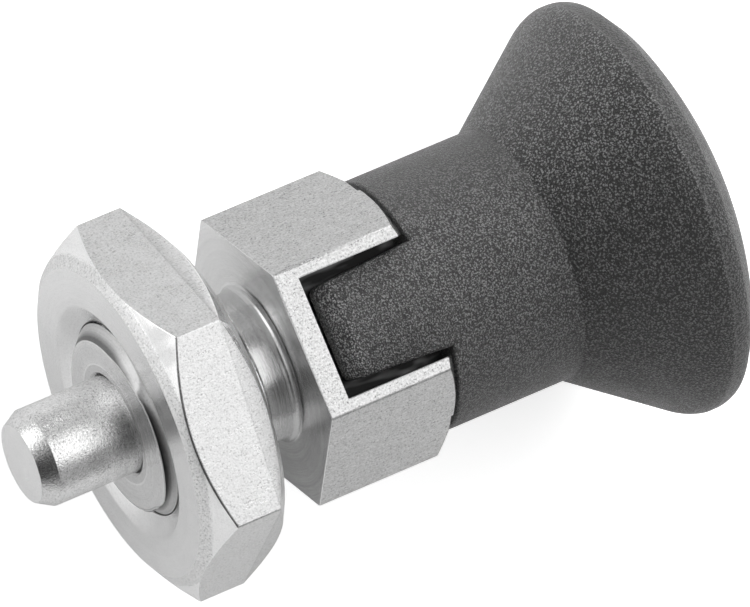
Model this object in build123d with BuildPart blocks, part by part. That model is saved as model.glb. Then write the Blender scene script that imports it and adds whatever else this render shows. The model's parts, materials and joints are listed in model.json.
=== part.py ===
from build123d import *
import os
from math import asin, atan2, cos, pi, radians, sin, sqrt, tan

# Short indexing plunger with a locking position, drawn in millimetres.
# X runs along the plunger's axis: the pin points to -X, the grip to +X.
# The origin is where the axis meets the front face of the body's hexagon.
# Z runs through the two notches of the body. The hexagon's corners lie on +-Y.

# ---- body: threaded sleeve with a hexagon and two notches
THREAD_R = 4.97          # crest of the M10 x 1 thread, with a little play
THREAD_END_X = -8.0      # front end of the thread
THREAD_END_R = 4.50      # chamfered front end
RELIEF_X = -1.8          # where the thread runs out
RELIEF_R = 3.86          # undercut behind the thread
RELIEF_END_X = -0.42     # where the undercut's fillet begins
FOOT_R = 4.18            # circle where the fillet meets the hexagon's face
HEX_AF = 13.0            # across flats
HEX_LEN = 7.2            # length of the hexagon
HEX_FACE_R = 6.40        # circle left by the 30 degree chamfer on the rear face
HEX_CHAMFER = 30.0       # degrees, from the plane of the face
NOTCH_W = 6.25           # width of a notch, along Y
NOTCH_X = 1.2            # floor of the notches
NOTCH_Z = 4.25           # how near the notches come to the axis
REST_W = 5.6             # locking groove across the rear face of each cheek
REST_D = 0.2
GUIDE_R = 2.54           # guide bore for the pin
GUIDE_MOUTH_R = 2.70
CHAMBER_X = -6.0         # front end of the spring chamber
CHAMBER_R = 3.20

# ---- pin
PIN_R = 2.5
TIP_X = -13.15
TIP_R = 2.03
TIP_CYL_X = -12.33       # where the pointed end reaches the full diameter
GREASE_X0, GREASE_X1, GREASE_R = -7.85, -7.20, 2.30   # grease groove
COLLAR_X0, COLLAR_X1, PIN_COLLAR_R = -5.98, -5.20, 3.10
STEM_R = 1.20
STEM_END_X = 18.0
STEM_GROOVE_X, STEM_GROOVE_W, STEM_GROOVE_R = 14.5, 1.0, 0.95

# ---- retaining bush at the rear end of the chamber
BUSH_X0, BUSH_X1 = 6.3, 7.2
BUSH_HOLE_R = 1.26

# ---- compression spring between the pin's collar and the bush
WIRE_R = 0.25
COIL_R = 2.55
COILS = 8.5

# ---- lock nut on the thread
NUT_AF = 17.0
NUT_X0, NUT_X1 = -7.87, -3.17
NUT_FACE_R = 8.0
NUT_CHAMFER = 33.0       # degrees, from the plane of the face
NUT_BORE_R = 5.02
NUT_SINK_R = 5.80
NUT_TURN = 13.3          # degrees, as the nut stands in the photograph
NUT_EASE_X = -4.33       # the flats fall away by a few degrees behind this plane
NUT_EASE = 3.5           # degrees

# ---- mushroom grip with two tabs
NECK_R = 6.52
NECK_X0 = 7.35           # front face of the neck
FLARE_X = 14.30          # neck meets flare
FLARE_FILLET = 0.5
RIM_R = 10.67
RIM_X = 20.38            # centre of the front rounding of the rim
RIM_ROUND_F = 1.16
RIM_ROUND_R = 1.20
DOME_R = 20.7            # radius of the domed end
DOME_X = 24.32           # top of the dome
TAB_X = 2.0              # front end of the tabs
TAB_W0, TAB_W1 = 4.84, 5.48   # width at the front end and at the neck
TAB_CORNER = 0.45
TAB_Z = 4.40             # inner face of the tabs

os.makedirs("parts", exist_ok=True)


def hexagon_prism(across_flats, x0, x1, turn=0.0, taper=0.0):
    """Hexagonal prism along X from x0 to x1, corners on +-Y before turning."""
    with BuildPart() as prism:
        with BuildSketch(Plane.YZ.offset(x0)):
            RegularPolygon(radius=across_flats / 2, side_count=6, major_radius=False, rotation=turn)
        extrude(amount=x1 - x0, taper=taper)
    return prism.part


# ------------------------------------------------------------------ body
cham = tan(radians(HEX_CHAMFER))
big = HEX_AF  # more than the radius of the corners
with BuildPart() as body:
    # hexagon, limited at its rear end by the chamfer's cone
    add(hexagon_prism(HEX_AF, 0, HEX_LEN))
    with BuildSketch(Plane.XY):
        with BuildLine():
            Polyline(
                (0, 0),
                (0, big),
                (HEX_LEN - (big - HEX_FACE_R) * cham, big),
                (HEX_LEN, HEX_FACE_R),
                (HEX_LEN, 0),
                close=True,
            )
        make_face()
    revolve(axis=Axis.X, mode=Mode.INTERSECT)
    # threaded shank and the undercut, whose fillet runs out at the hexagon's face
    rise = FOOT_R - RELIEF_R
    fillet_r = (RELIEF_END_X**2 + rise**2) / (2 * rise)
    fillet_turn = asin(-RELIEF_END_X / fillet_r) / 2
    with BuildSketch(Plane.XY):
        with BuildLine():
            Polyline(
                (0.5, 0),
                (THREAD_END_X, 0),
                (THREAD_END_X, THREAD_END_R),
                (THREAD_END_X + (THREAD_R - THREAD_END_R), THREAD_R),
                (RELIEF_X - 0.35, THREAD_R),
                (RELIEF_X, THREAD_R - 0.42),
                (RELIEF_X, RELIEF_R),
                (RELIEF_END_X, RELIEF_R),
            )
            ThreePointArc(
                (RELIEF_END_X, RELIEF_R),
                (RELIEF_END_X + fillet_r * sin(fillet_turn), RELIEF_R + fillet_r * (1 - cos(fillet_turn))),
                (0, FOOT_R),
            )
            Polyline((0, FOOT_R), (0.5, FOOT_R), (0.5, 0))
        make_face()
    revolve(axis=Axis.X)
    # guide bore, mouth and spring chamber
    with BuildSketch(Plane.XY):
        with BuildLine():
            mouth = GUIDE_MOUTH_R - GUIDE_R
            Polyline(
                (THREAD_END_X, 0),
                (THREAD_END_X, GUIDE_MOUTH_R),
                (THREAD_END_X + mouth, GUIDE_R),
                (CHAMBER_X, GUIDE_R),
                (CHAMBER_X, CHAMBER_R),
                (HEX_LEN, CHAMBER_R),
                (HEX_LEN, 0),
                close=True,
            )
        make_face()
    revolve(axis=Axis.X, mode=Mode.SUBTRACT)
    # the two notches that the grip's tabs drop into
    for side in (1, -1):
        with Locations((NOTCH_X, 0, side * (NOTCH_Z + 2.5))):
            Box(HEX_LEN, NOTCH_W, 5.0, align=(Align.MIN, Align.CENTER, Align.CENTER), mode=Mode.SUBTRACT)
    # shallow locking grooves across the cheeks' rear faces
    for side in (1, -1):
        with Locations((HEX_LEN - REST_D, side * (NOTCH_Z + 3.0), 0)):
            Box(1.0, 6.0, REST_W, align=(Align.MIN, Align.CENTER, Align.CENTER), mode=Mode.SUBTRACT)
export_step(body.part, "parts/body.step")

# ------------------------------------------------------------------ pin
with BuildPart() as pin:
    with BuildSketch(Plane.XY):
        with BuildLine():
            Polyline(
                (TIP_X, 0),
                (TIP_X, TIP_R),
                (TIP_CYL_X, PIN_R),
                (GREASE_X0, PIN_R),
                (GREASE_X0, GREASE_R),
                (GREASE_X1, GREASE_R),
                (GREASE_X1, PIN_R),
                (COLLAR_X0, PIN_R),
                (COLLAR_X0, PIN_COLLAR_R),
                (COLLAR_X1, PIN_COLLAR_R),
                (COLLAR_X1, STEM_R),
                (STEM_GROOVE_X, STEM_R),
                (STEM_GROOVE_X, STEM_GROOVE_R),
                (STEM_GROOVE_X + STEM_GROOVE_W, STEM_GROOVE_R),
                (STEM_GROOVE_X + STEM_GROOVE_W, STEM_R),
                (STEM_END_X, STEM_R),
                (STEM_END_X, 0),
                close=True,
            )
        make_face()
    revolve(axis=Axis.X)
export_step(pin.part, "parts/plunger_pin.step")

# ------------------------------------------------------------------ retaining bush
with BuildPart() as bush:
    with BuildSketch(Plane.XY):
        with BuildLine():
            Polyline(
                (BUSH_X0, BUSH_HOLE_R),
                (BUSH_X0, CHAMBER_R),
                (BUSH_X1, CHAMBER_R),
                (BUSH_X1, BUSH_HOLE_R + 0.15),
                (BUSH_X1 - 0.15, BUSH_HOLE_R),
                close=True,
            )
        make_face()
    revolve(axis=Axis.X)
export_step(bush.part, "parts/retaining_bush.step")

# ------------------------------------------------------------------ spring
spring_len = BUSH_X0 - COLLAR_X1 - 2 * WIRE_R - 0.04
with BuildPart() as spring:
    with BuildLine():
        coil = Helix(
            pitch=spring_len / COILS,
            height=spring_len,
            radius=COIL_R,
            center=(COLLAR_X1 + WIRE_R + 0.02, 0, 0),
            direction=(1, 0, 0),
        )
    with BuildSketch(Plane(origin=coil @ 0, z_dir=coil % 0)):
        Circle(WIRE_R)
    sweep(path=coil, is_frenet=True)
export_step(spring.part, "parts/spring.step")

# ------------------------------------------------------------------ lock nut
ncham = tan(radians(NUT_CHAMFER))
wide = NUT_AF
with BuildPart() as nut:
    add(hexagon_prism(NUT_AF, NUT_X0, NUT_EASE_X, NUT_TURN))
    add(hexagon_prism(NUT_AF, NUT_EASE_X, NUT_X1, NUT_TURN, NUT_EASE))
    with BuildSketch(Plane.XY):
        with BuildLine():
            Polyline(
                (NUT_X0, 0),
                (NUT_X0, NUT_FACE_R),
                (NUT_X0 + 2.2 * ncham, NUT_FACE_R + 2.2),
                (NUT_X1 - 2.2 * ncham, NUT_FACE_R + 2.2),
                (NUT_X1, NUT_FACE_R),
                (NUT_X1, 0),
                close=True,
            )
        make_face()
    revolve(axis=Axis.X, mode=Mode.INTERSECT)
    with BuildSketch(Plane.XY):
        with BuildLine():
            sink = NUT_SINK_R - NUT_BORE_R
            Polyline(
                (NUT_X0, 0),
                (NUT_X0, NUT_SINK_R),
                (NUT_X0 + sink, NUT_BORE_R),
                (NUT_X1 - sink, NUT_BORE_R),
                (NUT_X1, NUT_SINK_R),
                (NUT_X1, 0),
                close=True,
            )
        make_face()
    revolve(axis=Axis.X, mode=Mode.SUBTRACT)
export_step(nut.part, "parts/lock_nut.step")

# ------------------------------------------------------------------ grip
# the flare is a straight cone, tangent to the front rounding of the rim
cx, cr = RIM_X, RIM_R - RIM_ROUND_F
dx, dr = cx - FLARE_X, cr - NECK_R
reach = sqrt(dx * dx + dr * dr)
slope = atan2(dr, dx) + asin(RIM_ROUND_F / reach)
tan_x, tan_r = cx - RIM_ROUND_F * sin(slope), cr + RIM_ROUND_F * cos(slope)
mid = (slope) / 2
arc_x, arc_r = cx - RIM_ROUND_F * sin(mid), cr + RIM_ROUND_F * cos(mid)
# the domed end is tangent to the rear rounding of the rim
dome_c = DOME_X - DOME_R
back_r = RIM_R - RIM_ROUND_R
back_x = dome_c + sqrt((DOME_R - RIM_ROUND_R) ** 2 - back_r**2)
lean = atan2(back_x - dome_c, back_r)          # normal of the dome at the tangent point
end_x, end_r = dome_c + DOME_R * sin(lean), DOME_R * cos(lean)
half = lean / 2
rear_x, rear_r = back_x + RIM_ROUND_R * sin(half), back_r + RIM_ROUND_R * cos(half)
dome_mid = (pi / 2 + lean) / 2
# fillet between neck and flare
ft = FLARE_FILLET * tan(slope / 2)
f0x, f0r = FLARE_X - ft, NECK_R
f1x, f1r = FLARE_X + ft * cos(slope), NECK_R + ft * sin(slope)
fcx, fcr = f0x, NECK_R + FLARE_FILLET
fmx, fmr = fcx + FLARE_FILLET * sin(slope / 2), fcr - FLARE_FILLET * cos(slope / 2)
with BuildPart() as grip:
    with BuildSketch(Plane.XY):
        with BuildLine():
            Polyline((DOME_X, 0), (NECK_X0, 0), (NECK_X0, NECK_R - 0.12), (NECK_X0 + 0.12, NECK_R), (f0x, f0r))
            ThreePointArc((f0x, f0r), (fmx, fmr), (f1x, f1r))
            Line((f1x, f1r), (tan_x, tan_r))
            ThreePointArc((tan_x, tan_r), (arc_x, arc_r), (cx, RIM_R))
            Line((cx, RIM_R), (back_x, RIM_R))
            ThreePointArc((back_x, RIM_R), (rear_x, rear_r), (end_x, end_r))
            ThreePointArc(
                (end_x, end_r),
                (dome_c + DOME_R * sin(dome_mid), DOME_R * cos(dome_mid)),
                (DOME_X, 0),
            )
        make_face()
    revolve(axis=Axis.X)
    # two tabs, narrower towards their free end
    with BuildPart(mode=Mode.PRIVATE) as tabs:
        for side in (1, -1):
            with BuildSketch(Plane.XY.offset(side * TAB_Z)) as outline:
                with BuildLine():
                    Polyline(
                        (TAB_X, -TAB_W0 / 2),
                        (TAB_X, TAB_W0 / 2),
                        (NECK_X0 + 1.0, TAB_W1 / 2 + 1.0 * (TAB_W1 - TAB_W0) / 2 / (NECK_X0 - TAB_X)),
                        (NECK_X0 + 1.0, -TAB_W1 / 2 - 1.0 * (TAB_W1 - TAB_W0) / 2 / (NECK_X0 - TAB_X)),
                        close=True,
                    )
                make_face()
                front = outline.vertices().sort_by(Axis.X)[:2]
                fillet(front, TAB_CORNER)
            extrude(amount=side * 3.0)
        with BuildSketch(Plane.YZ):
            Circle(NECK_R)
        extrude(amount=NECK_X0 + 1.0, mode=Mode.INTERSECT)
    add(tabs.part)
    # seat of the pin's stem
    with BuildSketch(Plane.XY):
        with BuildLine():
            Polyline(
                (NECK_X0 - 1.0, 0),
                (NECK_X0 - 1.0, STEM_R),
                (STEM_GROOVE_X, STEM_R),
                (STEM_GROOVE_X, STEM_GROOVE_R),
                (STEM_GROOVE_X + STEM_GROOVE_W, STEM_GROOVE_R),
                (STEM_GROOVE_X + STEM_GROOVE_W, STEM_R),
                (STEM_END_X, STEM_R),
                (STEM_END_X, 0),
                close=True,
            )
        make_face()
    revolve(axis=Axis.X, mode=Mode.SUBTRACT)
export_step(grip.part, "parts/grip.step")
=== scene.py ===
import json
import math

import bmesh
import bpy
from mathutils import Matrix, Vector

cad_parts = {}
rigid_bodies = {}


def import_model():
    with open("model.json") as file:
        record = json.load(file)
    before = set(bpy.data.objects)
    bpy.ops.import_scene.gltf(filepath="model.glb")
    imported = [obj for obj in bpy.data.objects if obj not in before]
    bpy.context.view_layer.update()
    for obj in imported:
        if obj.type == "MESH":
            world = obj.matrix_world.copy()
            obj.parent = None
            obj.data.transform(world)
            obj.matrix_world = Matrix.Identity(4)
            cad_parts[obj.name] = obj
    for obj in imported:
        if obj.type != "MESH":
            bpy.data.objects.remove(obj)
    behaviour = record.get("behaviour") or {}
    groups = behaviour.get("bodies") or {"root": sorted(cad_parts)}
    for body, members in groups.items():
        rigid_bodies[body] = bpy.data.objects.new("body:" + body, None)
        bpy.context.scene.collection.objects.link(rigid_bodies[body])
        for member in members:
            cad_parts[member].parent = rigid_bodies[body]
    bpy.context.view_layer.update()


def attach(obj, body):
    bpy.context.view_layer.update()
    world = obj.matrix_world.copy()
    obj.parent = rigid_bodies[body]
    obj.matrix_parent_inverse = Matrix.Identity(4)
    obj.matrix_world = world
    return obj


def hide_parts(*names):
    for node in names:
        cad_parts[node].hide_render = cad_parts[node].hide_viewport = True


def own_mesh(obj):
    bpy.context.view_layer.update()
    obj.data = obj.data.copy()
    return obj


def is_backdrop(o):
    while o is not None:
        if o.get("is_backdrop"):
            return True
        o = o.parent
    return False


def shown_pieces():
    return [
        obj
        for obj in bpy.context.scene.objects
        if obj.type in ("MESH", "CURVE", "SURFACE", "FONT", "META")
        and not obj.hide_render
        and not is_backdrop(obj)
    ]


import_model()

MM = 0.001
TAU = 2 * math.pi

# ---------------------------------------------------------------- camera
RIGHT = Vector((0.86690049, -0.38409240, 0.31773663))
UP = Vector((0.36560677, 0.92319670, 0.11848856))
BACK = Vector((-0.33884396, 0.01344887, 0.94074646))
cam_data = bpy.data.cameras.new("camera")
cam_data.sensor_width = 36.0
cam_data.lens = 674.376
cam_data.shift_x = 0.0015252
cam_data.shift_y = -0.0023105
cam_data.clip_start, cam_data.clip_end = 0.05, 20.0
camera = bpy.data.objects.new("camera", cam_data)
bpy.context.scene.collection.objects.link(camera)
turn = Matrix((RIGHT, UP, BACK)).transposed().to_4x4()
camera.matrix_world = Matrix.Translation((-0.22387797, 0.0097467, 0.63988811)) @ turn
bpy.context.scene.camera = camera


# ---------------------------------------------------------------- mesh helpers, in millimetres
def rounded(points, closed=False, step=18.0, pieces=None):
    """A path of (a, b, radius) corners, with each corner that has a radius turned into an arc.
    pieces is a fixed number of steps for every arc, for paths that must all have the same count."""
    out, n = [], len(points)
    for i, (x, y, f) in enumerate(points):
        if f <= 0 or (not closed and i in (0, n - 1)):
            out.append((x, y))
            continue
        p = Vector((x, y))
        a = Vector(points[i - 1][:2]) - p
        b = Vector(points[(i + 1) % n][:2]) - p
        la, lb = a.length, b.length
        if la < 1e-9 or lb < 1e-9:
            out += [(x, y)] * (pieces + 1 if pieces else 1)
            continue
        a.normalize()
        b.normalize()
        inside = a.angle(b)
        bend = math.pi - inside
        if bend < 1e-3:
            out += [(x, y)] * (pieces + 1 if pieces else 1)
            continue
        t = min(f * math.tan(bend / 2), 0.45 * la, 0.45 * lb)
        r = t / math.tan(bend / 2)
        centre = p + (a + b).normalized() * (r / math.sin(inside / 2))
        s, e = p + a * t - centre, p + b * t - centre
        k = pieces or max(2, math.ceil(math.degrees(bend) / step))
        a0, a1 = math.atan2(s.y, s.x), math.atan2(e.y, e.x)
        d = (a1 - a0 + math.pi) % TAU - math.pi
        for j in range(k + 1):
            w = a0 + d * j / k
            out.append((centre.x + r * math.cos(w), centre.y + r * math.sin(w)))
    return out


def arc(cx, cy, r, a0, a1, k):
    """Points on an arc, angles in degrees."""
    return [(cx + r * math.cos(math.radians(a0 + (a1 - a0) * j / k)), cy + r * math.sin(math.radians(a0 + (a1 - a0) * j / k))) for j in range(k + 1)]


def columns(paths, angles, closed, shape=None):
    """A skin round the X axis: one path of (x, r) for each angle. An open path starts and ends on the axis."""
    n = len(paths[0])
    assert all(len(p) == n for p in paths), "paths differ in length"
    verts, faces = [], []
    if closed:
        index = lambda i, j: (j % len(angles)) * n + i % n
        for path, a in zip(paths, angles):
            verts += [(x, r * math.cos(a), r * math.sin(a)) for x, r in path]
        for j in range(len(angles)):
            for i in range(n):
                faces.append((index(i, j), index(i, j + 1), index(i + 1, j + 1), index(i + 1, j)))
    else:
        m = n - 2
        index = lambda i, j: (j % len(angles)) * m + i - 1
        for path, a in zip(paths, angles):
            verts += [(x, r * math.cos(a), r * math.sin(a)) for x, r in path[1:-1]]
        first, last = len(verts), len(verts) + 1
        verts += [(paths[0][0][0], 0, 0), (paths[0][-1][0], 0, 0)]
        for j in range(len(angles)):
            faces.append((first, index(1, j + 1), index(1, j)))
            for i in range(1, m):
                faces.append((index(i, j), index(i, j + 1), index(i + 1, j + 1), index(i + 1, j)))
            faces.append((last, index(m, j), index(m, j + 1)))
    return verts, faces


def even(n):
    return [TAU * j / n for j in range(n)]


def make(name, verts, faces):
    mesh = bpy.data.meshes.new(name)
    mesh.from_pydata([tuple(v) for v in verts], [], faces)
    bm = bmesh.new()
    bm.from_mesh(mesh)
    bmesh.ops.remove_doubles(bm, verts=bm.verts, dist=1e-5)
    bmesh.ops.recalc_face_normals(bm, faces=bm.faces)
    bm.to_mesh(mesh)
    bm.free()
    obj = bpy.data.objects.new(name, mesh)
    bpy.context.scene.collection.objects.link(obj)
    return obj


def lathe(name, path, n, closed=False):
    return make(name, *columns([path] * n, even(n), closed))


def combine(obj, other, operation):
    """Boolean of two solids. The second one is used up."""
    mod = obj.modifiers.new("cut", "BOOLEAN")
    mod.operation = operation
    mod.solver = "EXACT"
    mod.object = other
    graph = bpy.context.evaluated_depsgraph_get()
    mesh = bpy.data.meshes.new_from_object(obj.evaluated_get(graph), depsgraph=graph)
    obj.modifiers.clear()
    old = obj.data
    obj.data = mesh
    bpy.data.meshes.remove(old)
    bpy.data.objects.remove(other)


def block(name, lo, hi):
    v = [(x, y, z) for x in (lo[0], hi[0]) for y in (lo[1], hi[1]) for z in (lo[2], hi[2])]
    f = [(0, 1, 3, 2), (4, 6, 7, 5), (0, 4, 5, 1), (2, 3, 7, 6), (0, 2, 6, 4), (1, 5, 7, 3)]
    return make(name, v, f)


def finished(obj, material, body, node, sharp=32.0):
    """Metres, smooth shading with creases, material, and its place in the frame."""
    obj.data.transform(Matrix.Scale(MM, 4))
    bm = bmesh.new()
    bm.from_mesh(obj.data)
    bmesh.ops.recalc_face_normals(bm, faces=bm.faces)
    for f in bm.faces:
        f.smooth = abs(f.normal.x) < 0.99999
    for e in bm.edges:
        e.smooth = len(e.link_faces) == 2 and e.calc_face_angle(0.0) < math.radians(sharp)
    bm.to_mesh(obj.data)
    bm.free()
    weigh = obj.modifiers.new("normals", "WEIGHTED_NORMAL")
    weigh.keep_sharp = True
    weigh.mode = "FACE_AREA"
    obj.data.materials.clear()
    obj.data.materials.append(material)
    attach(obj, body)
    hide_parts(node)
    return obj


# ---------------------------------------------------------------- materials
class Nodes:
    """Short names for the nodes that the materials are made of."""

    def __init__(self, name):
        self.material = bpy.data.materials.new(name)
        self.material.use_nodes = True
        self.tree = self.material.node_tree
        self.shader = self.tree.nodes["Principled BSDF"]
        coords = self.new("ShaderNodeTexCoord")
        self.place, self.normal = coords.outputs["Object"], coords.outputs["Normal"]

    def new(self, kind):
        return self.tree.nodes.new(kind)

    def put(self, socket, value):
        if isinstance(value, bpy.types.NodeSocket):
            self.tree.links.new(value, socket)
        else:
            socket.default_value = value

    def math(self, op, a, b=0.0, c=0.0, clamp=False):
        n = self.new("ShaderNodeMath")
        n.operation, n.use_clamp = op, clamp
        for s, v in zip(n.inputs, (a, b, c)):
            self.put(s, v)
        return n.outputs[0]

    def vector(self, op, a, b):
        n = self.new("ShaderNodeVectorMath")
        n.operation = op
        self.put(n.inputs[0], a)
        self.put(n.inputs[1], b)
        return n.outputs["Value"] if op in ("LENGTH", "DOT_PRODUCT") else n.outputs["Vector"]

    def split(self, v):
        n = self.new("ShaderNodeSeparateXYZ")
        self.put(n.inputs[0], v)
        return n.outputs

    def join(self, x, y, z):
        n = self.new("ShaderNodeCombineXYZ")
        for s, v in zip(n.inputs, (x, y, z)):
            self.put(s, v)
        return n.outputs[0]

    def noise(self, vector, scale, detail=2.0, rough=0.5, distortion=0.0):
        n = self.new("ShaderNodeTexNoise")
        self.put(n.inputs["Vector"], vector)
        for k, v in (("Scale", scale), ("Detail", detail), ("Roughness", rough), ("Distortion", distortion)):
            self.put(n.inputs[k], v)
        return n.outputs[0]

    def cells(self, vector, scale, feature="SMOOTH_F1", smooth=0.6, random=1.0):
        n = self.new("ShaderNodeTexVoronoi")
        n.feature = feature
        self.put(n.inputs["Vector"], vector)
        self.put(n.inputs["Scale"], scale)
        if "Smoothness" in n.inputs and feature == "SMOOTH_F1":
            self.put(n.inputs["Smoothness"], smooth)
        self.put(n.inputs["Randomness"], random)
        return n.outputs["Distance"]

    def span(self, value, a, b, lo, hi, smooth=False):
        n = self.new("ShaderNodeMapRange")
        n.interpolation_type = "SMOOTHSTEP" if smooth else "LINEAR"
        for s, v in zip(n.inputs, (value, a, b, lo, hi)):
            self.put(s, v)
        return n.outputs[0]

    def mix(self, factor, a, b):
        n = self.new("ShaderNodeMix")
        n.data_type = "FLOAT"
        self.put(n.inputs[0], factor)
        self.put(n.inputs[2], a)
        self.put(n.inputs[3], b)
        return n.outputs[0]

    def grey(self, value, tint=(1.0, 1.0, 1.0)):
        n = self.new("ShaderNodeCombineColor")
        for s, t in zip(n.inputs, tint):
            self.put(s, value if t == 1.0 else self.math("MULTIPLY", value, t))
        return n.outputs[0]

    def bump(self, height, strength, distance, under=None):
        n = self.new("ShaderNodeBump")
        self.put(n.inputs["Strength"], strength)
        self.put(n.inputs["Distance"], distance)
        self.put(n.inputs["Height"], height)
        if under is not None:
            self.put(n.inputs["Normal"], under)
        return n.outputs[0]


def steel(name, base, rough, speck=0.5, turned="all", lines=0.5, grain=0.3, seed=0.0, pits=0.0, notch=False, ring=None, thread=False, band=None, flats=0.76):
    """Bare steel. turned: "all" for lathe work, "faces" for a bar whose flats keep a drawn grain along X.
    speck is the height of the fine grain, pits how far the grain darkens the metal. notch: the milled slots are
    rougher, painted near-black as painted shade and streaked lighter along the cutter's arcs. ring: radii between
    which the front chamfer is left dull by the tumbling. thread: painted shade in the thread's grooves, in the
    undercut and on the rougher front chamfer, and a painted highlight along the bore's lip. band: the plane behind
    which the flats are painted greyer as painted shade, with a painted dark line along it. flats: how bright they are
    next to the turned faces."""
    m = Nodes(name)
    x, y, z = m.split(m.place)
    radius = m.math("SQRT", m.math("ADD", m.math("MULTIPLY", y, y), m.math("MULTIPLY", z, z)))
    nx = m.math("ABSOLUTE", m.split(m.normal)[0])
    # lines left by the tool: rings on faces, and round the cylinders
    ring_at = m.join(m.math("ADD", x, seed), m.math("ADD", radius, 0.013), m.math("MULTIPLY", y, 0.02))
    fine = m.noise(ring_at, 14000.0, 2.0, 0.6)
    broad = m.noise(ring_at, 2600.0, 2.0, 0.5)
    turning = m.math("ADD", m.math("MULTIPLY", fine, 0.6), m.math("MULTIPLY", broad, 0.4))
    # grain along the bar
    along = m.join(m.math("MULTIPLY", x, 0.14), m.math("ADD", y, seed), z)
    drawn = m.noise(along, 10000.0, 3.0, 0.65)
    # tiny pits and grains everywhere
    spots = m.noise(m.place, 9800.0, 2.0, 0.75)
    blotch = m.noise(m.place, 900.0, 3.0, 0.55)
    if turned == "all":
        share = m.span(nx, 0.9, 0.97, 0.0, 1.0)
        worked = turning
        speckle = m.mix(share, speck, speck * 0.25)
    else:
        on_face = m.span(nx, 0.35, 0.6, 0.0, 1.0)
        on_shank = m.span(radius, 0.00555, 0.00545, 0.0, 1.0)
        share = m.math("MAXIMUM", on_face, on_shank)
        worked = m.mix(share, drawn, turning)
        speckle = m.mix(share, speck, speck * 0.30)
    if ring:
        dull = m.math("MULTIPLY", m.span(m.math("ADD", radius, m.math("MULTIPLY", blotch, 0.0002)), ring[0], ring[0] + 0.00006, 0.0, 1.0), m.span(m.math("ADD", radius, m.math("MULTIPLY", spots, 0.00025)), ring[1], ring[1] + 0.0001, 1.0, 0.0))
        dull = m.math("MULTIPLY", dull, m.math("MULTIPLY", m.span(nx, 0.55, 0.7, 0.0, 1.0), m.span(nx, 0.99, 0.97, 0.0, 1.0)))
        speckle = m.mix(dull, speckle, 0.75)
    height = m.math("ADD", m.math("MULTIPLY", worked, lines), m.math("MULTIPLY", spots, speckle))
    m.put(m.shader.inputs["Normal"], m.bump(height, 1.0, grain * 1e-5))
    # the deepest pits are dark, as pepper on the bright metal
    pepper = m.math("MULTIPLY", m.span(spots, 0.40, 0.30, 0.0, -2.4), m.math("MULTIPLY", speckle, pits))
    streaks = m.math("MULTIPLY", m.span(worked, 0.3, 0.7, -1.0, 1.0), lines * 0.26)
    tone = m.math("ADD", m.math("ADD", pepper, streaks), m.math("ADD", m.math("MULTIPLY", m.span(spots, 0.34, 0.66, -1.0, 1.0), m.math("MULTIPLY", speckle, pits)), m.math("MULTIPLY", m.span(blotch, 0.3, 0.7, -1.0, 1.0), 0.03)))
    value = m.math("MULTIPLY", base, m.math("ADD", 1.0, tone))
    if turned == "all":
        value = m.math("MULTIPLY", value, m.mix(share, 1.0, 1.24))
    else:
        # ground flats scatter more than turned faces
        value = m.math("MULTIPLY", value, m.mix(share, flats, 1.0))
    if thread:
        # painted shade: the undercut between the nut and the hexagon is painted darker
        undercut_shade = m.math("MULTIPLY", m.span(radius, 0.00424, 0.00420, 0.0, 1.0), m.math("MULTIPLY", m.span(x, -0.00002, -0.00006, 0.0, 1.0), m.span(x, -0.00200, -0.00190, 0.0, 1.0)))
        value = m.math("MULTIPLY", value, m.mix(undercut_shade, 1.0, 0.62))
        # painted shade: the bottom of the thread's groove is painted dark
        groove = m.math("MULTIPLY", m.span(radius, 0.00448, 0.00472, 1.0, 0.0), m.math("MULTIPLY", m.span(x, -0.00185, -0.00190, 0.0, 1.0), m.math("MULTIPLY", m.span(nx, 0.97, 0.90, 0.0, 1.0), m.span(radius, 0.0041, 0.0042, 0.0, 1.0))))
        value = m.math("MULTIPLY", value, m.mix(groove, 1.0, 0.30))
        # the chamfer at the thread's front end is rougher, and painted darker as painted shade that dims a highlight
        # on it
        chamfer = m.math("MULTIPLY", m.span(x, -0.00690, -0.00710, 0.0, 1.0), m.math("MULTIPLY", m.span(nx, 0.99, 0.97, 0.0, 1.0), m.span(radius, 0.00425, 0.00435, 0.0, 1.0)))
        value = m.math("MULTIPLY", value, m.mix(chamfer, 1.0, 0.74))
        # the end face inside the bore's lip is a little darker
        front = m.math("MULTIPLY", m.span(x, -0.00790, -0.00795, 0.0, 1.0), m.span(radius, 0.00310, 0.00304, 0.0, 1.0))
        value = m.math("MULTIPLY", value, m.mix(front, 1.0, 0.90))
        # painted highlight: a thin light ring along the bore's lip
        lip_highlight = m.math("MULTIPLY", m.span(x, -0.00790, -0.00795, 0.0, 1.0), m.span(m.math("ABSOLUTE", m.math("SUBTRACT", radius, 0.00312)), 0.00002, 0.00006, 1.0, 0.0))
        value = m.math("MULTIPLY", value, m.math("ADD", 1.0, m.math("MULTIPLY", lip_highlight, 0.16)))
    if band:
        # painted shade: the eased rear part of the flats is painted greyer, standing in for the darker reflection off
        # its tilted face
        rear = m.math("MULTIPLY", m.span(m.math("ADD", x, m.math("MULTIPLY", blotch, 0.0001)), band, band + 0.00006, 0.0, 1.0), m.span(nx, 0.30, 0.45, 1.0, 0.0))
        rear = m.math("MULTIPLY", rear, m.span(radius, 0.0083, 0.0084, 0.0, 1.0))
        value = m.math("MULTIPLY", value, m.mix(rear, 1.0, 0.87))
        # painted shade: a darker line where the eased part begins
        edge = m.math("MULTIPLY", m.span(m.math("ABSOLUTE", m.math("SUBTRACT", x, band)), 0.00002, 0.00007, 1.0, 0.0), m.span(nx, 0.30, 0.45, 1.0, 0.0))
        value = m.math("MULTIPLY", value, m.math("ADD", 1.0, m.math("MULTIPLY", edge, -0.10)))
    shine = m.math("ADD", rough, m.math("ADD", m.math("MULTIPLY", m.span(blotch, 0.3, 0.7, -1.0, 1.0), 0.03), m.math("MULTIPLY", m.span(worked, 0.3, 0.7, -1.0, 1.0), 0.03)))
    if turned != "all":
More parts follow.
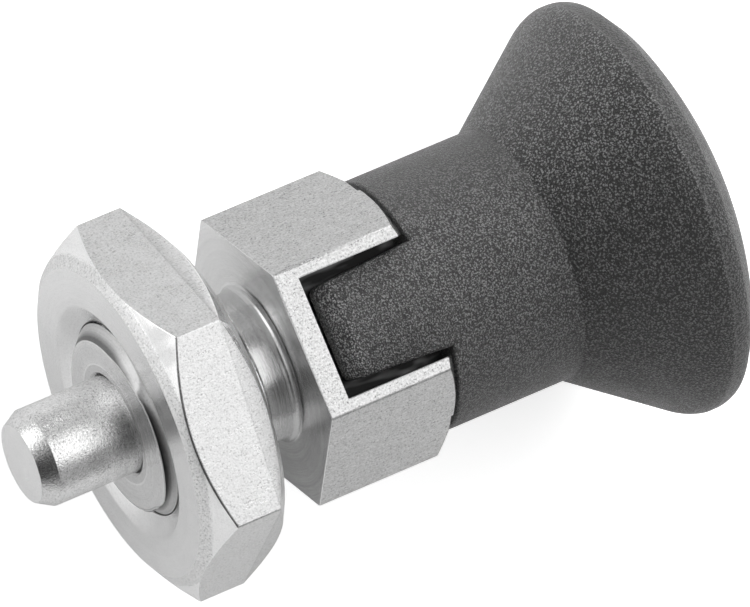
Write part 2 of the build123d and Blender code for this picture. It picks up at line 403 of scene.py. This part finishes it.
        # the flats are ground, which leaves them duller than the turned faces
        shine = m.math("ADD", shine, m.mix(share, 0.08, 0.0))
    if thread:
        shine = m.math("ADD", shine, m.math("MULTIPLY", chamfer, 0.32))
    if ring:
        value = m.math("MULTIPLY", value, m.mix(dull, 1.0, 0.84))
        shine = m.math("ADD", shine, m.math("MULTIPLY", dull, 0.12))
    if notch:
        up = m.math("ABSOLUTE", z)
        inside = m.math("MULTIPLY", m.span(x, 0.00126, 0.00132, 0.0, 1.0), m.math("MULTIPLY", m.span(m.math("ABSOLUTE", y), 0.00320, 0.00316, 0.0, 1.0), m.math("MULTIPLY", m.span(up, 0.00410, 0.00420, 0.0, 1.0), m.span(up, 0.00648, 0.00640, 0.0, 1.0))))
        # long arcs left by the cutter on the side walls
        swirl = m.vector("LENGTH", m.join(m.math("SUBTRACT", x, 0.0030), 0.0, m.math("SUBTRACT", up, -0.0300)), (0.0, 0.0, 0.0))
        streak = m.noise(m.join(swirl, m.math("MULTIPLY", x, 0.05), m.math("MULTIPLY", y, 0.3)), 4200.0, 2.0, 0.6)
        # painted shade: inside the slots the metal is painted near-black, with lighter streaks along the cutter's arcs
        value = m.mix(inside, value, m.span(streak, 0.46, 0.72, 0.018, 0.17))
        shine = m.mix(inside, shine, 0.40)
    m.put(m.shader.inputs["Base Color"], m.grey(value))
    m.put(m.shader.inputs["Roughness"], m.math("ADD", shine, 0.0, clamp=True))
    m.shader.inputs["Metallic"].default_value = 1.0
    return m.material


def plastic(name):
    """Black-grey moulded plastic with an eroded texture: round grains on the neck, longer and coarser ones on the
    flare, and a finer texture on the rim."""
    m = Nodes(name)
    x, y, z = m.split(m.place)
    radius = m.math("SQRT", m.math("ADD", m.math("MULTIPLY", y, y), m.math("MULTIPLY", z, z)))
    flare = m.math("MULTIPLY", m.span(radius, 0.00651, 0.00659, 0.0, 1.0, True), m.span(x, 0.02040, 0.02025, 0.0, 1.0))
    rim = m.span(x, 0.02034, 0.02044, 0.0, 1.0)
    # raised grains with narrow hollows between them
    grains = m.math("SUBTRACT", m.math("MULTIPLY", m.noise(m.place, 13500.0, 2.0, 0.7, 0.3), 1.5), m.math("MULTIPLY", m.cells(m.place, 9400.0, smooth=0.15), 0.65))
    worms = m.math("SUBTRACT", m.math("MULTIPLY", m.noise(m.place, 11500.0, 2.0, 0.7, 0.6), 1.5), m.math("MULTIPLY", m.cells(m.place, 8200.0, smooth=0.12), 0.70))
    powder = m.math("SUBTRACT", m.math("MULTIPLY", m.noise(m.place, 13500.0, 2.0, 0.6), 0.80), m.math("MULTIPLY", m.cells(m.place, 9000.0, smooth=0.3), 0.50))
    height = m.mix(rim, m.mix(flare, grains, worms), powder)
    m.put(m.shader.inputs["Normal"], m.bump(height, 1.0, 1.3e-4))
    cloud = m.noise(m.place, 700.0, 2.0, 0.5)
    # painted highlights on the grains' tops and painted shade in the hollows between them, standing in for glints and
    # shadows of the grain
    painted_glints = m.mix(rim, m.mix(flare, m.span(grains, 0.38, 0.68, -0.80, 2.2), m.span(worms, 0.38, 0.68, -1.0, 4.6)), m.span(powder, 0.06, 0.32, -0.8, 1.2))
    upper = m.span(m.math("DIVIDE", y, m.math("MAXIMUM", radius, 0.001)), 0.45, 0.85, 0.0, 1.0)
    # the painted glints and shade of the grain are weaker towards +Y
    strength = m.math("MULTIPLY", m.mix(flare, 0.92, 0.95), m.mix(upper, 1.0, 0.62))
    tone = m.math("ADD", m.math("MULTIPLY", painted_glints, strength), m.math("MULTIPLY", m.span(cloud, 0.3, 0.7, -1.0, 1.0), 0.04))
    side = m.span(m.math("DIVIDE", y, m.math("MAXIMUM", radius, 0.001)), -0.1, 0.7, 0.0, 1.0)
    # painted highlight: the neck is painted lighter towards the sides that the tabs lie on, standing in for the top
    # light's sheen
    painted_neck_sheen = m.span(m.math("DIVIDE", m.math("ABSOLUTE", z), m.math("MAXIMUM", radius, 0.001)), 0.45, 0.95, 0.90, 1.38)
    # painted light: the flare is painted lighter towards +Y, the side the left light falls on, and the rim is painted
    # darker there
    value = m.math("MULTIPLY", m.mix(rim, m.mix(flare, m.math("MULTIPLY", 0.080, painted_neck_sheen), m.math("MULTIPLY", m.mix(side, 0.034, 0.068), m.mix(upper, 1.0, 1.22))), m.mix(upper, 0.068, 0.054)), m.math("ADD", 1.0, tone))
    # painted light: the tabs' front ends, in the shade of the slots, are painted lighter
    painted_tab_light = m.math("MULTIPLY", m.span(x, 0.00278, 0.00262, 0.0, 1.0), m.span(m.split(m.normal)[0], -0.45, -0.70, 0.0, 1.0))
    value = m.math("MULTIPLY", value, m.mix(painted_tab_light, 1.0, 2.2))
    # and the edge behind them is lighter
    worn = m.math("MULTIPLY", m.span(x, 0.00300, 0.00262, 0.0, 1.0), m.span(m.split(m.normal)[0], -0.42, -0.30, 0.0, 1.0))
    value = m.math("MULTIPLY", value, m.math("ADD", 1.0, m.math("MULTIPLY", worn, 0.40)))
    m.put(m.shader.inputs["Base Color"], m.grey(value))
    m.put(m.shader.inputs["Roughness"], m.math("ADD", 0.35, m.math("MULTIPLY", m.span(cloud, 0.3, 0.7, -1.0, 1.0), 0.05)))
    m.shader.inputs["Specular IOR Level"].default_value = 0.65
    return m.material


STEEL_BODY = steel("body_steel", 0.75, 0.22, speck=1.0, turned="faces", lines=0.50, grain=1.9, pits=0.20, notch=True, thread=True, flats=0.655)
STEEL_PIN = steel("pin_steel", 0.68, 0.24, speck=1.0, lines=0.15, grain=1.7, seed=0.004, pits=0.16)
STEEL_NUT = steel("nut_steel", 0.84, 0.22, speck=0.6, turned="faces", lines=0.16, grain=1.5, seed=0.009, pits=0.22, ring=(0.00800, 0.00866), band=-0.00433, flats=0.72)
STEEL_BUSH = steel("bush_steel", 0.62, 0.28, speck=0.4, lines=0.6, grain=0.8, seed=0.002, pits=0.05)
STEEL_SPRING = steel("spring_steel", 0.55, 0.30, speck=0.5, lines=0.2, grain=0.5, seed=0.006, pits=0.05)
PLASTIC = plastic("grip_plastic")

# ---------------------------------------------------------------- plunger pin
pin_path = rounded([
    (-13.15, 0, 0), (-13.15, 2.03, 0.05), (-12.33, 2.50, 0.05), (-7.85, 2.50, 0.04), (-7.85, 2.30, 0.04),
    (-7.20, 2.30, 0.04), (-7.20, 2.50, 0.04), (-5.98, 2.50, 0.03), (-5.98, 3.10, 0.10), (-5.20, 3.10, 0.10),
    (-5.20, 1.20, 0.05), (14.50, 1.20, 0.03), (14.50, 0.95, 0.03), (15.50, 0.95, 0.03), (15.50, 1.20, 0.03),
    (18.00, 1.20, 0.12), (18.00, 0, 0),
])
finished(lathe("locking_pin", pin_path, 160), STEEL_PIN, "plunger", "plunger_pin")

# ---------------------------------------------------------------- retaining bush
bush_path = rounded([(6.30, 1.26, 0.03), (6.30, 3.195, 0.05), (7.20, 3.195, 0.08), (7.20, 1.41, 0.03), (7.05, 1.26, 0.03)], closed=True)
finished(lathe("bush_ring", bush_path, 96, closed=True), STEEL_BUSH, "housing", "retaining_bush")


# ---------------------------------------------------------------- spring, with closed end coils
def coil(name, x0, x1, coil_r, wire_r, active, dead, per_turn=40, around=14):
    total = active + 2 * dead
    steps = int(total * per_turn)
    free = x1 - x0 - 2 * wire_r
    flat = 2.06 * wire_r
    pitch = (free - 2 * dead * flat) / active
    verts, faces = [], []
    for s in range(steps + 1):
        t = total * s / steps
        if t < dead:
            x, slope = flat * t, flat
        elif t < dead + active:
            x, slope = dead * flat + pitch * (t - dead), pitch
        else:
            x, slope = dead * flat + pitch * active + flat * (t - dead - active), flat
        a = TAU * t
        c = Vector((x0 + wire_r + x, coil_r * math.cos(a), coil_r * math.sin(a)))
        along = Vector((slope / TAU, -coil_r * math.sin(a), coil_r * math.cos(a))).normalized()
        out = Vector((0, math.cos(a), math.sin(a)))
        side = along.cross(out)
        for k in range(around):
            w = TAU * k / around
            verts.append(tuple(c + out * (wire_r * math.cos(w)) + side * (wire_r * math.sin(w))))
    for s in range(steps):
        for k in range(around):
            k1 = (k + 1) % around
            faces.append((s * around + k, s * around + k1, (s + 1) * around + k1, (s + 1) * around + k))
    faces.append(tuple(range(around)))
    faces.append(tuple(reversed(range(steps * around, (steps + 1) * around))))
    return make(name, verts, faces)


spring = coil("compression_spring", -5.19, 6.29, 2.55, 0.245, 8.5, 1.0)
finished(spring, STEEL_SPRING, "housing", "spring")
spring.modifiers.clear()
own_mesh(spring)


# ---------------------------------------------------------------- hexagons
def hexagon_angles(turn_deg, flat_steps, corner_steps, across, corner_r):
    """Angles round a hexagon with rounded corners, closer together in the corners."""
    half = across / 2
    edge = math.atan((half - corner_r) * math.tan(math.radians(30)) / half)
    out = []
    for k in range(6):
        mid = math.radians(turn_deg + 30 + 60 * k)
        out += [mid + edge * (2 * j / flat_steps - 1) for j in range(flat_steps + 1)]
        gap = math.radians(60) - 2 * edge
        out += [mid + edge + gap * j / corner_steps for j in range(1, corner_steps)]
    return out


def hexagon_radius(a, turn_deg, half, corner_r):
    """How far a hexagon with rounded corners reaches at angle a, from half its width across flats."""
    local = (a - math.radians(turn_deg)) % math.radians(60) - math.radians(30)
    edge = math.atan((half - corner_r) * math.tan(math.radians(30)) / half)
    if abs(local) <= edge + 1e-9:
        return half / math.cos(local)
    c = (half - corner_r) / math.cos(math.radians(30))
    w = math.radians(30) - abs(local)
    return c * math.cos(w) + math.sqrt(max(0.0, corner_r**2 - (c * math.sin(w)) ** 2))


# ---------------------------------------------------------------- lock nut
NUT_X0, NUT_X1, NUT_FACE_R, NUT_SINK_R, NUT_BORE_R = -7.87, -3.17, 8.0, 6.02, 5.02
NUT_EASE_X, NUT_EASE = -4.33, math.tan(math.radians(3.5))
NUT_CHAM = math.tan(math.radians(33.0))
NUT_TURN = 13.3
sink = 0.58
nut_angles = hexagon_angles(NUT_TURN, 26, 6, 17.0, 0.16)
nut_paths = []
for a in nut_angles:
    r0 = hexagon_radius(a, NUT_TURN, 8.5, 0.16)
    # one flat's front edge is worn rounder than the others
    worn = 0.19 if 60.0 < math.degrees(a) - NUT_TURN < 120.0 else 0.06
    per = r0 / 8.5
    fall = NUT_EASE * per
    # where the eased flat meets the rear chamfer
    rear = lambda x: NUT_FACE_R + (NUT_X1 - x) / NUT_CHAM
    x_r = (r0 + fall * NUT_EASE_X - NUT_FACE_R - NUT_X1 / NUT_CHAM) / (fall - 1 / NUT_CHAM)
    r_r = rear(x_r)
    path = rounded([
        (NUT_X0 + sink, NUT_BORE_R, 0.05),
        (NUT_X0, NUT_SINK_R, 0.22),
        (NUT_X0, NUT_FACE_R, 0.06),
        (NUT_X0 + (r0 - NUT_FACE_R) * NUT_CHAM, r0, worn),
        (NUT_EASE_X, r0, 0.0),
        (x_r, r_r, 0.09),
        (NUT_X1, NUT_FACE_R, 0.10),
        (NUT_X1, NUT_SINK_R, 0.07),
        (NUT_X1 - sink, NUT_BORE_R, 0.05),
    ], closed=True, pieces=3)
    # the bore's thread, cut outwards so that its crests keep the bore's radius
    x_a, x_b = NUT_X1 - sink, NUT_X0 + sink
    steps = 84
    for j in range(1, steps):
        x = x_a + (x_b - x_a) * j / steps
        u = (x - a / TAU) % 1.0
        deep = max(0.0, min(0.30, (abs(abs(u - 0.5) - 0.5) - 0.09) * 1.5))
        ends = min(1.0, (x_a - x) / 0.25, (x - x_b - 0.15) / 0.4)
        path.append((x, NUT_BORE_R + deep * max(0.0, ends)))
    nut_paths.append(path)
nut = make("hexagon_lock_nut", *columns(nut_paths, nut_angles, True))
finished(nut, STEEL_NUT, "nut", "lock_nut", sharp=26.0)

# ---------------------------------------------------------------- body
HEX_LEN, HEX_FACE_R = 7.2, 6.40
HEX_CHAM = math.tan(math.radians(30.0))
hex_angles = hexagon_angles(0.0, 12, 6, 13.0, 0.22)
hex_paths = []
for a in hex_angles:
    r0 = hexagon_radius(a, 0.0, 6.5, 0.22)
    hex_paths.append(rounded([
        (0.0, 0, 0), (0.0, r0, 0.06), (HEX_LEN - (r0 - HEX_FACE_R) * HEX_CHAM, r0, 0.07), (HEX_LEN, HEX_FACE_R, 0.07), (HEX_LEN, 0, 0),
    ], pieces=4))
body = make("threaded_body", *columns(hex_paths, hex_angles, False))
for side in (1, -1):
    lo, hi = sorted((side * 4.25, side * 8.5))
    combine(body, block("notch", (1.2, -3.125, lo), (9.0, 3.125, hi)), "DIFFERENCE")
for side in (1, -1):
    lo, hi = sorted((side * 4.2, side * 9.0))
    combine(body, block("groove", (7.0, lo, -2.8), (9.0, hi, 2.8)), "DIFFERENCE")
# break the milled edges a little
bm = bmesh.new()
bm.from_mesh(body.data)
bmesh.ops.remove_doubles(bm, verts=bm.verts, dist=1e-4)
milled = []
for e in bm.edges:
    if len(e.link_faces) != 2 or e.calc_face_angle_signed(0.0) < math.radians(35):
        continue
    c = (e.verts[0].co + e.verts[1].co) / 2
    wall = abs(abs(c.y) - 3.125) < 1e-3 and abs(c.z) > 4.3 and c.x > 1.2
    end = abs(c.x - 1.2) < 1e-3 and abs(c.z) > 4.3 and abs(c.y) < 3.13
    if wall or end:
        milled.append(e)
bmesh.ops.bevel(bm, geom=milled, offset=0.05, segments=2, affect="EDGES", clamp_overlap=False)
bm.to_mesh(body.data)
bm.free()
N = 160
# the undercut's fillet is tangent to its cylinder and runs out at the hexagon's face
RELIEF_R, FILLET_X, FOOT_R, CHAMBER_R = 3.86, -0.42, 4.18, 3.20
rise = FOOT_R - RELIEF_R
fillet_r = (FILLET_X**2 + rise**2) / (2 * rise)
fillet_end = math.degrees(math.asin(-FILLET_X / fillet_r))
fillet = arc(FILLET_X, RELIEF_R + fillet_r, fillet_r, -90, -90 + fillet_end + 8.0, 8)
shank_path = [(-1.5, 3.0), (-1.5, RELIEF_R), (-0.9, RELIEF_R), *fillet, (0.3, fillet[-1][1]), (0.3, 3.0)]
combine(body, lathe("shank", shank_path, N, closed=True), "UNION")
combine(body, lathe("chamber", [(-2.5, 0), (-2.5, CHAMBER_R), (8.0, CHAMBER_R), (8.0, 0)], N), "DIFFERENCE")
bm = bmesh.new()
bm.from_mesh(body.data)
gone = [f for f in bm.faces if all(abs(v.co.x + 1.5) < 1e-4 for v in f.verts)]
bmesh.ops.delete(bm, geom=gone, context="FACES")
bm.to_mesh(body.data)
bm.free()

# the thread: M10 x 1, right-handed, with its chamfered start and its run-out into the undercut
CREST, ROOT, PHASE = 4.97, 4.40, 0.30


def ease(t):
    t = min(1.0, max(0.0, t))
    return t * t * (3 - 2 * t)


def end_radius(a):
    """Outline of the threaded end: chamfered deeper on the +Y side, and nearly full where the thread's first land lies."""
    d = math.degrees(a) % 360
    land = ease((d - 60) / 35) * ease((176 - d) / 26)
    deep = ease((60 - d) / 20) if d < 180 else ease((d - 300) / 30)
    return 4.42 - 0.17 * deep + 0.43 * land


def thread_radius(x, a):
    u = (x - a / TAU - PHASE) % 1.0
    d = abs(u - 0.5)                      # 0 at the root, 0.5 at the crest
    r = ROOT + (CREST - ROOT) * min(1.0, max(0.0, (d - 0.085) / 0.345))
    # the first groove only opens over part of the front end
    shut = min(1.0, max(0.0, (math.cos(a) + 0.1) / 0.5)) * min(1.0, max(0.0, (-7.0 - x) / 0.35))
    r += (CREST - r) * shut
    if x < -7.93:
        r = max(r, end_radius(a))
    return min(r, end_radius(a) + 0.06 + (x + 8.0), 4.55 + max(0.0, -1.8 - x) * 1.2)


shank_angles = even(N)
rows = 236
thread_paths = []
for a in shank_angles:
    inner = rounded([(-1.5, CHAMBER_R, 0), (-6.0, CHAMBER_R, 0.0), (-6.0, 2.54, 0.04), (-7.84, 2.54, 0.05), (-8.0, 2.70, 0.05), (-8.0, 3.3, 0)])
    outer = [(-8.0, end_radius(a) - 0.03), (-7.985, end_radius(a) + 0.02)]
    for j in range(1, rows):
        x = -8.0 + 6.2 * j / rows
        outer.append((x, thread_radius(x, a)))
    outer += rounded([(-1.80, 4.52, 0), (-1.80, RELIEF_R, 0.10), (-1.5, RELIEF_R, 0)])
    thread_paths.append(inner + outer)
n = len(thread_paths[0])
verts, faces = [], []
for path, a in zip(thread_paths, shank_angles):
    verts += [(x, r * math.cos(a), r * math.sin(a)) for x, r in path]
for j in range(N):
    for i in range(n - 1):
        k = (j + 1) % N
        faces.append((j * n + i, k * n + i, k * n + i + 1, j * n + i + 1))
thread = make("thread", verts, faces)
bm = bmesh.new()
bm.from_mesh(body.data)
bm.from_mesh(thread.data)
bmesh.ops.remove_doubles(bm, verts=bm.verts, dist=2e-4)
bmesh.ops.dissolve_degenerate(bm, edges=bm.edges, dist=1e-5)
print("body: open edges", sum(1 for e in bm.edges if len(e.link_faces) != 2), "faces", len(bm.faces))
bm.to_mesh(body.data)
bm.free()
bpy.data.objects.remove(thread)
finished(body, STEEL_BODY, "housing", "body", sharp=28.0)

# ---------------------------------------------------------------- grip
NECK_R, NECK_X0, FLARE_X = 6.52, 7.35, 14.30
RIM_R, RIM_X, ROUND_F, ROUND_R, DOME_R, DOME_X = 10.67, 20.38, 1.16, 1.20, 20.7, 24.32
cr = RIM_R - ROUND_F
dx, dr = RIM_X - FLARE_X, cr - NECK_R
slope = math.atan2(dr, dx) + math.asin(ROUND_F / math.hypot(dx, dr))
tan_x, tan_r = RIM_X - ROUND_F * math.sin(slope), cr + ROUND_F * math.cos(slope)
dome_c = DOME_X - DOME_R
back_r = RIM_R - ROUND_R
back_x = dome_c + math.sqrt((DOME_R - ROUND_R) ** 2 - back_r**2)
lean = math.atan2(back_x - dome_c, back_r)
# the flare's rounding is larger than the rear one, and meets the rim in a faint edge
EDGE_X, EDGE_TURN = 20.36, math.radians(12.0)
line_r = NECK_R + (EDGE_X - FLARE_X) * math.tan(slope)
soft_r = (line_r - RIM_R) / ((math.sin(slope) - math.sin(EDGE_TURN)) * math.tan(slope) - (math.cos(EDGE_TURN) - math.cos(slope)))
soft_x, soft_c = EDGE_X + soft_r * math.sin(EDGE_TURN), RIM_R - soft_r * math.cos(EDGE_TURN)
front_arc = arc(soft_x, soft_c, soft_r, 90 + math.degrees(slope), 90 + math.degrees(EDGE_TURN), 14)
tan_x, tan_r = front_arc[0]
grip_path = rounded([
    (NECK_X0, 0, 0), (NECK_X0, NECK_R, 0.14), (FLARE_X, NECK_R, 0.08), (tan_x, tan_r, 0),
])
stretch = grip_path.pop()
# rows along the neck and the flare
dense = [grip_path[0]]
for p, q in zip(grip_path, grip_path[1:] + [stretch]):
    k = max(1, int(math.hypot(q[0] - p[0], q[1] - p[1]) / 0.8)) if p[1] > 1 else 1
    dense += [(p[0] + (q[0] - p[0]) * j / k, p[1] + (q[1] - p[1]) * j / k) for j in range(1, k + 1)]
rear_arc = arc(back_x, back_r, ROUND_R, 90.0, math.degrees(lean), 14)
dome = [(dome_c + DOME_R * math.cos(w), DOME_R * math.sin(w)) for w in [(math.pi / 2 - lean) * (1 - j / 22) for j in range(1, 22)]]
rim_row = (EDGE_X + 0.04, RIM_R)
dense += front_arc[1:] + [rim_row] + rear_arc + dome + [(DOME_X, 0)]
grip = lathe("mushroom_grip", dense, 200)


def tab(name, side):
    """A tab of the grip: its outer face carries on the neck's cylinder, and its sides draw in towards the free end."""
    TAB_X, W0, W1, INNER, EDGE, FRONT, DROP, CORNER = 2.0, 4.84, 5.48, 4.40, 0.13, 0.60, 0.90, 0.20
    stations = []
    # the front end slopes, with a small rounding at its top
    stations += [(TAB_X, DROP), (TAB_X + 0.04, DROP - 0.10)]
    stations += [(TAB_X + 0.04 + (FRONT - 0.20) * j / 4, DROP - 0.10 - (DROP - 0.24) * j / 4) for j in range(1, 5)]
    stations += [(TAB_X + FRONT - 0.10, 0.06), (TAB_X + FRONT - 0.03, 0.015), (TAB_X + FRONT + 0.04, 0.0)]
    stations += [(TAB_X + FRONT + (NECK_X0 - 0.05 - TAB_X - FRONT) * j / 8, 0.0) for j in range(1, 9)]
    stations += [(NECK_X0 + 0.16, 0.0), (NECK_X0 + 0.32, 0.03), (NECK_X0 + 0.6, 0.12)]
    verts, faces, count = [], [], None
    for x, inset in stations:
        width = W0 + (W1 - W0) * min(1.05, (x - TAB_X) / (NECK_X0 - TAB_X))
        half = width / 2
        if x < TAB_X + CORNER:
            half -= CORNER - math.sqrt(max(0.0, CORNER**2 - (TAB_X + CORNER - x) ** 2))
        half -= inset * 0.16
        outer = NECK_R + 0.004 - inset
        inner = INNER + inset * 0.25
        top = math.sqrt(outer**2 - half**2)
        # section: outer arc with rounded shoulders, then the sides and the inner face
        e = EDGE
        lift = [(half - e * (1 - math.sin(math.radians(w))), e * (1 - math.cos(math.radians(w)))) for w in (90, 72, 54, 36, 18, 0)]
        right = [(y, math.sqrt(outer**2 - max(0.0, y) ** 2) - drop) for y, drop in lift]
        run = right[-1][0]
        mids = [run * (1 - 2 * j / 20) for j in range(1, 20)]
        loop = [(half, inner + 0.05), *right, *[(y, math.sqrt(outer**2 - y * y)) for y in mids], *[(-y, z) for y, z in reversed(right)], (-half, inner + 0.05), (-half + 0.05, inner), (half - 0.05, inner)]
        count = len(loop)
        verts += [(x, y, side * z) for y, z in loop]
    for s in range(len(stations) - 1):
        for k in range(count):
            k1 = (k + 1) % count
            faces.append((s * count + k, s * count + k1, (s + 1) * count + k1, (s + 1) * count + k))
    faces.append(tuple(range(count)))
    faces.append(tuple(range((len(stations) - 1) * count, len(stations) * count)))
    return make(name, verts, faces)


for side in (1, -1):
    combine(grip, tab("tab", side), "UNION")
stem_seat = rounded([(6.0, 0, 0), (6.0, 1.205, 0), (14.5, 1.205, 0), (14.5, 0.955, 0), (15.5, 0.955, 0), (15.5, 1.205, 0), (18.0, 1.205, 0), (18.0, 0, 0)])
combine(grip, lathe("seat", stem_seat, 64), "DIFFERENCE")
finished(grip, PLASTIC, "plunger", "grip", sharp=30.0)

# ---------------------------------------------------------------- floor and light
FLOOR_Z = -10.70 * MM
floor_mesh = bpy.data.meshes.new("floor")
s = 1.5
floor_mesh.from_pydata([(-s, -s, FLOOR_Z), (s, -s, FLOOR_Z), (s, s, FLOOR_Z), (-s, s, FLOOR_Z)], [], [(0, 1, 2, 3)])
floor = bpy.data.objects.new("floor", floor_mesh)
bpy.context.scene.collection.objects.link(floor)
pale = Nodes("floor_pale")
grain = pale.noise(pale.place, 60.0, 2.0, 0.5)
tint = pale.span(grain, 0.3, 0.7, 0.90, 0.92)
seen = pale.new("ShaderNodeLightPath").outputs["Is Camera Ray"]
# painted shadow: the sheet's colour, as reflections see it, is painted darker under the gap between the nut and the
# hexagon
fx, fy, fz = pale.split(pale.place)
fx, fy = pale.math("ADD", fx, 0.0028), pale.math("ADD", fy, 0.0062)
away = pale.math("SQRT", pale.math("ADD", pale.math("MULTIPLY", fx, fx), pale.math("MULTIPLY", fy, fy)))
gloom = pale.math("MULTIPLY", tint, pale.span(away, 0.0022, 0.0044, 0.40, 1.0))
pale.put(pale.shader.inputs["Base Color"], pale.grey(pale.mix(seen, gloom, tint)))
pale.shader.inputs["Roughness"].default_value = 0.7
pale.shader.inputs["Specular IOR Level"].default_value = 0.2
# a sheet lit from below, as on a light table: it shows nearly white and keeps only faint shadows
pale.shader.inputs["Emission Color"].default_value = (1.0, 1.0, 1.0, 1.0)
pale.put(pale.shader.inputs["Emission Strength"], pale.mix(seen, 0.06, 0.60))
floor_mesh.materials.append(pale.material)
floor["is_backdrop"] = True

# the studio round the object: pale walls, lighter on the +Y side, with the dark front from where pictures are taken
world = bpy.data.worlds.new("studio")
world.use_nodes = True
tree = world.node_tree


def world_math(op, a, b, clamp=False):
    n = tree.nodes.new("ShaderNodeMath")
    n.operation, n.use_clamp = op, clamp
    for socket, v in zip(n.inputs, (a, b)):
        if isinstance(v, bpy.types.NodeSocket):
            tree.links.new(v, socket)
        else:
            socket.default_value = v
    return n.outputs[0]


def patch(direction, inner, outer):
    """1 within inner degrees of a direction, 0 beyond outer degrees."""
    n = tree.nodes.new("ShaderNodeVectorMath")
    n.operation = "DOT_PRODUCT"
    tree.links.new(sky.outputs["Generated"], n.inputs[0])
    n.inputs[1].default_value = Vector(direction).normalized()
    r = tree.nodes.new("ShaderNodeMapRange")
    r.interpolation_type = "SMOOTHSTEP"
    tree.links.new(n.outputs["Value"], r.inputs[0])
    r.inputs[1].default_value = math.cos(math.radians(outer))
    r.inputs[2].default_value = math.cos(math.radians(inner))
    return r.outputs[0]


sky = tree.nodes.new("ShaderNodeTexCoord")
parts = tree.nodes.new("ShaderNodeSeparateXYZ")
tree.links.new(sky.outputs["Generated"], parts.inputs[0])
walls = world_math("ADD", world_math("ADD", 0.55, world_math("MULTIPLY", parts.outputs["Y"], 0.12)), world_math("MULTIPLY", patch((-0.94, 0.33, -0.05), 14, 34), 0.9))
dark = world_math("MAXIMUM", patch((-0.36, 0.00, 0.93), 11, 20), patch((-0.68, -0.48, 0.55), 20, 37))
level = world_math("MULTIPLY", walls, world_math("SUBTRACT", 1.0, world_math("MULTIPLY", dark, 0.88)))
shade = tree.nodes.new("ShaderNodeCombineColor")
for socket in shade.inputs:
    tree.links.new(level, socket)
tree.links.new(shade.outputs[0], tree.nodes["Background"].inputs[0])
tree.nodes["Background"].inputs[1].default_value = 1.0
bpy.context.scene.world = world


def softbox(name, direction, distance, width, height, radiance, roll=0.0):
    """A rectangular soft light that faces the object from the given direction. radiance is its brightness as seen."""
    data = bpy.data.lights.new(name, "AREA")
    data.shape = "RECTANGLE"
    data.size, data.size_y = width, height
    data.energy = radiance * width * height * math.pi
    obj = bpy.data.objects.new(name, data)
    bpy.context.scene.collection.objects.link(obj)
    d = Vector(direction).normalized()
    obj.rotation_mode = "QUATERNION"
    obj.rotation_quaternion = d.to_track_quat("Z", "X")
    obj.location = d * distance
    return obj


softbox("top_light", (0.38, -0.07, 0.92), 0.5, 0.30, 0.50, 1.42)
softbox("left_light", (-0.74, 0.62, 0.24), 0.5, 0.34, 0.28, 2.1)
softbox("fill_light", (0.72, 0.64, 0.27), 0.5, 0.34, 0.34, 3.4)
softbox("back_light", (0.88, 0.15, 0.45), 0.5, 0.40, 0.50, 1.2)

scene = bpy.context.scene
scene.view_settings.view_transform = "Standard"
scene.view_settings.look = "None"
scene.view_settings.exposure = 0.0
scene.view_settings.gamma = 1.0

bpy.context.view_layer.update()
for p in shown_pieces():
    print("piece", p.name, sum(len(f.vertices) - 2 for f in p.data.polygons), "triangles")
